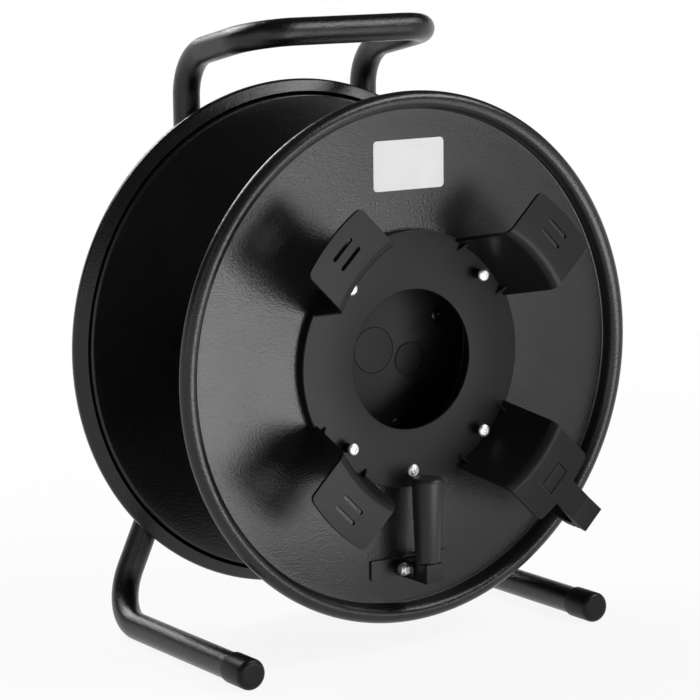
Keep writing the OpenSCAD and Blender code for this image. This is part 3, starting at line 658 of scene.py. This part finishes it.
def makeHolder():
    s = holderSet
    face, top, under = flangeSet["face"], s["top"], s["top"] - s["t"]
    skirtR, sunk = s["r"] - s["skirt"], top - s["bite"]
    section = rounded([(s["hole"], under), (s["hole"], top), (s["r"], top), (s["r"], face), (skirtR, face),
                       (skirtR, under)], s["edges"])
    shapes = [lathe(section, 256)]
    toe = wingFoot - s["gussetL"]
    gusset = rounded([(toe, sunk), (toe, top + s["gussetToe"]),
                      (wingFoot + s["gussetH"] * math.tan(wingLean), top + s["gussetH"]),
                      (wingFoot + s["bite"], sunk)], [0, s["gussetEdge"], 0, 0], 3)
    for turn in s["wingTurns"]:
        shapes += [sideways(gusset, y, s["gussetT"] / 2, turn) for y in (-s["gussetAt"], s["gussetAt"])]
        post = roundBar(s["postR"], sunk, top + s["postH"], high=s["postEdge"], steps=40)
        shapes.append(moved(post, drumSpot(s["screwAt"], turn, 0)))
    makePiece("holderRing", onDrum(joined(*shapes)), plastic["holder"], "drum",
              ("holder_ring",))
    for k, turn in enumerate(s["wingTurns"], 1):
        points, faces = wingSurface(turn == s["clipTurn"])
        makePiece("holderWing_%d" % k, onDrum((turned(points, turn), faces)), plastic["holder"], "drum",
                  ("holder_wing_%d" % k,), wall=s["wingT"], bevel=s["wingEdge"], bevelSteps=3)
    print("winding holder made")


makeHolder()


# cable clip: its side outline drawn across the wing, from the hook in the window round the tip to the jaw
clipSet = {"w": 20.4, "t": 2.5, "tip": 176, "tipZ": 126, "jawIn": 13, "jawZ": 95.5, "kneeIn": 4, "kneeUp": 11,
           "tooth": 1.25, "tongue": 161, "drop": 1.8, "slack": 0.5, "faceDrop": 0.1, "edge": 0.3,
           "radii": (0.3, 0, 0, 0.3, 0.3, 0, 0, 4, 0.5, 0.3, 0.3, 0.2, 0.3, 0.2, 2, 0.6, 0.6, 3, 3, 3)}


def makeClip():
    c, s = clipSet, holderSet
    t, tooth, tip, tipZ, slack = c["t"], c["tooth"], c["tip"], c["tipZ"], c["slack"]
    back, face = s["wingTop"] - s["wingT"], s["wingTop"] - c["faceDrop"]
    window = s["wingR"] - s["windowEdge"] - s["windowL"]
    windowEnd = window + s["windowL"] - slack
    jaw, knee, kneeZ = tip - c["jawIn"], tip - c["kneeIn"], c["jawZ"] + c["kneeUp"]
    corners = [
        (window - t, back - t), (window - t, back), (window + slack, back), (window + slack, face),
        (windowEnd, face), (windowEnd, back), (s["wingR"] + slack, back),
        (c["tongue"], s["wingTop"] - c["drop"]), (tip, tipZ), (tip, tipZ - t),
        (tip - 2 * tooth, tipZ - 2.5 * t), (tip - tooth, tipZ - 3 * t), (tip - 2.5 * tooth, tipZ - 4 * t),
        (tip - 1.5 * tooth, tipZ - 4.5 * t), (knee, kneeZ), (jaw, c["jawZ"]), (jaw - t, c["jawZ"] + t),
        (knee - 1.5 * t, kneeZ + t), (tip - 3 * t, back - 2 * t), (s["wingR"] + t, back - t)]
    clip = sideways(rounded(corners, c["radii"], 5), 0, c["w"] / 2, s["clipTurn"])
    makePiece("cableClip", onDrum(clip), plastic["clip"], "drum", ("cable_clip",),
              bevel=c["edge"])
    print("clip made")


makeClip()


# pan-head screws; lays turn their crosses, in degrees
screwSet = {"r": 4.6, "h": 2.8, "fall": 0.55, "rimFrom": 0.9, "rimFall": 0.25, "crossW": 0.42, "crossL": 1.9,
            "crossD": 0.9, "crossRows": 1.15, "sharp": 60, "wingLays": (20, 65, 10, 40), "ringLay": 30,
            "ringTurn": 270, "potLays": (15, 46, 77, 108), "potScale": 0.98}


# a dome z = h (1 - fall (r / R)^4), lower still at the rim, less a cross with smooth walls:
# arm is 1 on the cross's edge, and the depth goes from none to all of crossD as arm goes from 1.25 to 0.75
def screwHead(turn, scale):
    s = screwSet
    r, h, w, l = (s[key] * scale for key in ("r", "h", "crossW", "crossL"))
    fine = s["crossL"] * s["crossRows"]
    ring = np.concatenate([np.linspace(0, fine, 26), np.linspace(fine, s["r"], 12)[1:]])[:, None] * scale
    t = np.linspace(0, 2 * np.pi, 96, endpoint=False)
    x, y = ring * np.cos(t), ring * np.sin(t)
    far = ring / r
    dome = h * (1 - far ** 4 * s["fall"]) * np.ones_like(x)
    rim = (far - s["rimFrom"]) / (1 - s["rimFrom"])
    dome = dome * np.where(rim > 0, 1 - s["rimFall"] * rim ** 2, 1)
    arm = np.minimum(np.maximum(np.abs(x) / l, np.abs(y) / w), np.maximum(np.abs(y) / l, np.abs(x) / w))
    sunk = np.clip((1.25 - arm) / 0.5, 0, 1)
    dome = dome - s["crossD"] * scale * sunk * sunk * (3 - 2 * sunk)
    top = np.stack([x, y, dome], -1)
    foot = np.stack([x[-1], y[-1], np.zeros(len(t))], -1)[None]
    points = np.concatenate([top, foot, np.zeros_like(foot)]).reshape(-1, 3)
    return turned(points, turn), gridFaces(len(ring) + 2, len(t), closeCols=True)


def makeScrews():
    s, h, p = screwSet, holderSet, potSet
    rows = []  # name, node, cross's lay, scale, place, finish, slot
    for k, (turn, lay) in enumerate(zip(h["wingTurns"], s["wingLays"]), 1):
        spot = drumSpot(h["screwAt"], turn, h["top"] + h["postH"])
        rows.append(("wingScrew_%d" % k, "wing_screw_%d" % k, lay, 1.0, spot, zinc, "zinc_steel"))
    spot = drumSpot(h["screwAt"], s["ringTurn"], h["top"])
    rows.append(("ringScrew", "ring_screw", s["ringLay"], 1.0, spot, zinc, "zinc_steel"))
    for k, lay in enumerate(s["potLays"]):
        spot = drumSpot(p["screwAt"], p["screwTurn"] + 90 * k, p["floor"] - p["sink"])
        rows.append(("potScrew_%d" % (k + 1), "pot_screw_%d" % (k + 1), lay, s["potScale"], spot, darkSteel,
                     "black_steel"))
    for name, node, lay, scale, spot, finish, slot in rows:
        head = onDrum(moved(screwHead(lay, scale), spot))
        makePiece(name, head, finish, "drum", (node,), sharp=s["sharp"])
    print("screws made")


makeScrews()


# crank: a strip with two ears on the flange, the block between them, and the grip on its spindle
crankSet = {"r": 149.5, "pivotZ": 81.5, "pivotR": 3, "stripL": 67, "stripLow": 8, "stripH": 14.5,
            "stripCorner": 1.2, "t": 2, "earR": 7, "earIn": 7.6, "earFoot": 0.5, "edge": 0.35,
            "boltOver": 1.5, "boltEdge": 0.6, "nutFlats": 8.2, "nutH": 5, "nutGap": 0.1, "headH": 3.6,
            "blockW": 14.6, "blockCorner": 0.6, "up": 6, "down": 8, "back": 4, "nose": 9, "offset": 12,
            "gripL": 61, "gripR0": 9, "gripR1": 11.5, "gripBore": 4.2, "gripEnd": 9, "gripCrown": 0.01,
            "gripRound": 3, "gripEdges": (0.2, 0.8), "gripGap": 0.3}


# z of the shape runs to the right, along the pivot bolt
def onPivot(shape):
    x, y, z = np.moveaxis(np.asarray(shape[0], float), -1, 0)
    return np.stack([z, y - crankSet["r"], crankSet["pivotZ"] - x], -1), shape[1]


def makeCrank():
    c = crankSet
    face = flangeSet["face"]
    high, out, half = c["pivotZ"] - face, c["earIn"] + c["t"], c["stripL"] / 2
    low = -c["r"] - c["stripLow"]
    strip = roundedBox(-half, low, half, low + c["stripH"], c["stripCorner"], 4)
    shapes = [prism(strip, face, face + c["t"])]
    ear = np.vstack([[(c["earFoot"], -c["earR"]), (high, -c["earR"])],
                     arcPoints((high, 0), c["earR"], -90, 90, 16)[1:-1],
                     [(high, c["earR"]), (c["earFoot"], c["earR"])]])
    for x in (-out, c["earIn"]):
        p, f = prism(ear, x, x + c["t"])
        shapes.append((np.stack([p[:, 2], p[:, 1] - c["r"], p[:, 0] + face], -1), f))
    makePiece("crankBracket", onDrum(joined(*shapes)), drumCoat, "drum", ("crank_bracket",),
              bevel=c["edge"])

    shank = roundBar(c["pivotR"], -out - c["nutH"] - c["boltOver"], out, low=c["boltEdge"], steps=48,
                     arcSteps=4)
    bolt = joined(shank, moved(hexShape(c["nutFlats"], c["headH"]), (0, 0, out)))
    makePiece("pivotBolt", onDrum(onPivot(bolt)), zinc, "drum", ("pivot_bolt",))
    nut = moved(hexShape(c["nutFlats"], c["nutH"], c["pivotR"] + c["nutGap"]), (0, 0, -out - c["nutH"]))
    makePiece("pivotNut", onDrum(onPivot(nut)), zinc, "drum", ("pivot_nut",))

    back, front = c["pivotZ"] - c["back"], c["pivotZ"] + c["offset"] + c["nose"]
    outline = roundedBox(-c["r"] - c["down"], back, -c["r"] + c["up"], front, c["blockCorner"], 4)
    p, f = prism(outline, -c["blockW"] / 2, c["blockW"] / 2)
    makePiece("crankBlock", onDrum((p[:, [2, 0, 1]], f)), plastic["block"], "crank",
              ("crank_block",), bevel=c["edge"])

    top, bore, floor = c["gripL"], c["gripBore"], c["gripL"] - c["gripEnd"]
    section = rounded([(bore, 0), (c["gripR0"], 0), (c["gripR1"], top), (0, top + c["gripCrown"]), (0, floor),
                       (bore, floor)], [*c["gripEdges"], c["gripRound"], 0, 0, 0], 8)
    p, f = lathe(section, 96)
    foot = -c["r"] + c["up"] + c["gripGap"]
    points = np.stack([p[:, 0], p[:, 2] + foot, -p[:, 1] + c["pivotZ"] + c["offset"]], -1)
    makePiece("gripHandle", onDrum((points, f)), plastic["grip"], "grip", ("grip",))
    print("crank made")


makeCrank()


# axle plate, axle and rear nut at the back
rearSet = {"plateZ": -84.25, "plateT": 5, "half": 88, "plateH": 60, "corner": 8, "plateEdge": 0.6,
           "collarR": 12, "collarEnd": -71.8, "axleR": 8, "shoulder": 14.3, "threadR": 6, "over": 1.5,
           "nutFlats": 19, "nutH": 7, "nutGap": 0.1, "nutInset": 0.28,
           "edges": (0, 0.8, 0, 0, 0.5, 0, 0, 0, 0.8, 0)}


def makeRear():
    r = rearSet
    h, plateZ, back = r["plateH"] / 2, r["plateZ"], r["plateZ"] - r["plateT"]
    plate = prism(roundedBox(-r["half"], -h, r["half"], h, r["corner"], 8), back, plateZ)
    makePiece("axlePlate", onDrum(plate), tubeCoat, "stand", ("axle_plate",),
              bevel=r["plateEdge"])
    rearEnd, frontEnd = back - r["nutH"] - r["over"], r["shoulder"] + r["nutH"] + r["over"]
    section = rounded(
        [(0, rearEnd), (r["threadR"], rearEnd), (r["threadR"], plateZ), (r["collarR"], plateZ),
         (r["collarR"], r["collarEnd"]), (r["axleR"], r["collarEnd"]), (r["axleR"], r["shoulder"]),
         (r["threadR"], r["shoulder"]), (r["threadR"], frontEnd), (0, frontEnd)], r["edges"], 4)
    axle = lathe(section, 96, closed=False)
    makePiece("axleBar", onDrum(axle), zinc, "stand", ("axle",))
    nut = hexShape(r["nutFlats"], r["nutH"], r["threadR"] + r["nutGap"], r["nutInset"])
    nut = moved(nut, (0, 0, back - r["nutH"]))
    makePiece("rearNut", onDrum(nut), zinc, "stand", ("axle_nut_rear",))
    for name, finish in (("bearing_hub", zinc), ("axle_nut_front", zinc), ("spindle", zinc),
                         ("axle_cap", plastic["pot"])):
        data = nodes[name].data
        data.materials.clear()
        data.materials.append(finish)
    print("rear made")


makeRear()


# pale floor that turns up far away, soft lamps and a quiet surround; the floor's sizes are in m
stageSet = {
    "floor": 242, "rough": 0.9, "gloss": 0.1, "flat": 8.0, "edge": 10.0, "edgeH": 2.4,
    "near": 0.9, "fadeFrom": 0.4, "fadeTo": 1.4, "world": 0.06,
    "lamps": (  # name, place, aim (mm), width and height (m), power (W)
        ("floorCard", (550, -1360, 190), (458, -1212, 1175), (0.4, 2.1), 17.5),
        ("rightBox", (1150, -1100, 1650), (0, -50, 300), (1.5, 0.7), 29),
        ("backBox", (-350, 1600, 1550), (0, 0, 200), (1.2, 0.9), 34),
        ("leftBox", (-1700, -900, 900), (0, 0, 250), (1.0, 1.4), 3)),
}


# the floor: a disc, then rows that rise as z = edgeH (1 - cos a) while the radius grows as sin a
def makeFloor():
    s = stageSet
    mesh = bpy.data.meshes.new("floor")
    a, t = np.linspace(0, np.pi / 2, 9)[:, None], np.linspace(0, 2 * np.pi, 96, endpoint=False)
    r = s["flat"] + (s["edge"] - s["flat"]) * np.sin(a)
    z = np.broadcast_to(s["edgeH"] * (1 - np.cos(a)), (len(a), len(t)))
    points = np.stack([r * np.cos(t), r * np.sin(t), z], -1).reshape(-1, 3)
    mesh.from_pydata(points.tolist(), [], gridFaces(len(a), len(t), closeCols=True) + [tuple(range(len(t)))])
    floor = addObject("floor", mesh)
    f = Finish("floorPaper", {"Base Color": tone(s["floor"]), "Roughness": s["rough"],
                              "Specular IOR Level": s["gloss"]})
    camera, glossy, through = (f.node("ShaderNodeLightPath", {}, {}, ray)
                               for ray in ("Is Camera Ray", "Is Glossy Ray", "Is Transmission Ray"))
    seen = camera.over(glossy).over(through)
    glow = f.node("ShaderNodeEmission", {}, {"Color": (1, 1, 1, 1), "Strength": 1.0})
    lit = Wire(f.tree, f.shader.outputs[0])
    # seen directly, it keeps a little of the shadows near the object and fades to plain white further off
    reach = f.node("ShaderNodeVectorMath", {"operation": "LENGTH"}, {0: f.place}, "Value")
    far = f.node("ShaderNodeMapRange", {"interpolation_type": "SMOOTHSTEP"},
                 {"Value": reach, "From Min": s["fadeFrom"], "From Max": s["fadeTo"], "To Min": s["near"],
                  "To Max": 1.0})
    mixed = f.node("ShaderNodeMixShader", {}, {0: seen * far, 1: lit, 2: glow})
    output = next(n for n in f.tree.nodes if n.type == "OUTPUT_MATERIAL")
    f.tree.links.new(mixed.socket, output.inputs["Surface"])
    mesh.materials.append(f.material)


def makeLights():
    for name, place, aim, size, power in stageSet["lamps"]:
        data = bpy.data.lights.new(name, "AREA")
        data.shape, data.size, data.size_y, data.energy = "RECTANGLE", size[0], size[1], power
        lamp = addObject(name, data)
        back = np.array(place, float) - np.array(aim, float)
        back /= np.linalg.norm(back)
        right = np.cross([0, 0, 1], back)
        right /= np.linalg.norm(right)
        putAt(lamp, right, np.cross(back, right), back, place)
        lamp.visible_camera = False
    world = bpy.data.worlds.new("surround")
    world.use_nodes = True
    sky = next(n for n in world.node_tree.nodes if n.type == "BACKGROUND")
    sky.inputs["Color"].default_value = (1, 1, 1, 1)
    sky.inputs["Strength"].default_value = stageSet["world"]
    bpy.context.scene.world = world
    bpy.context.scene.view_settings.view_transform = "Standard"


makeFloor()
makeLights()
print("stage made")
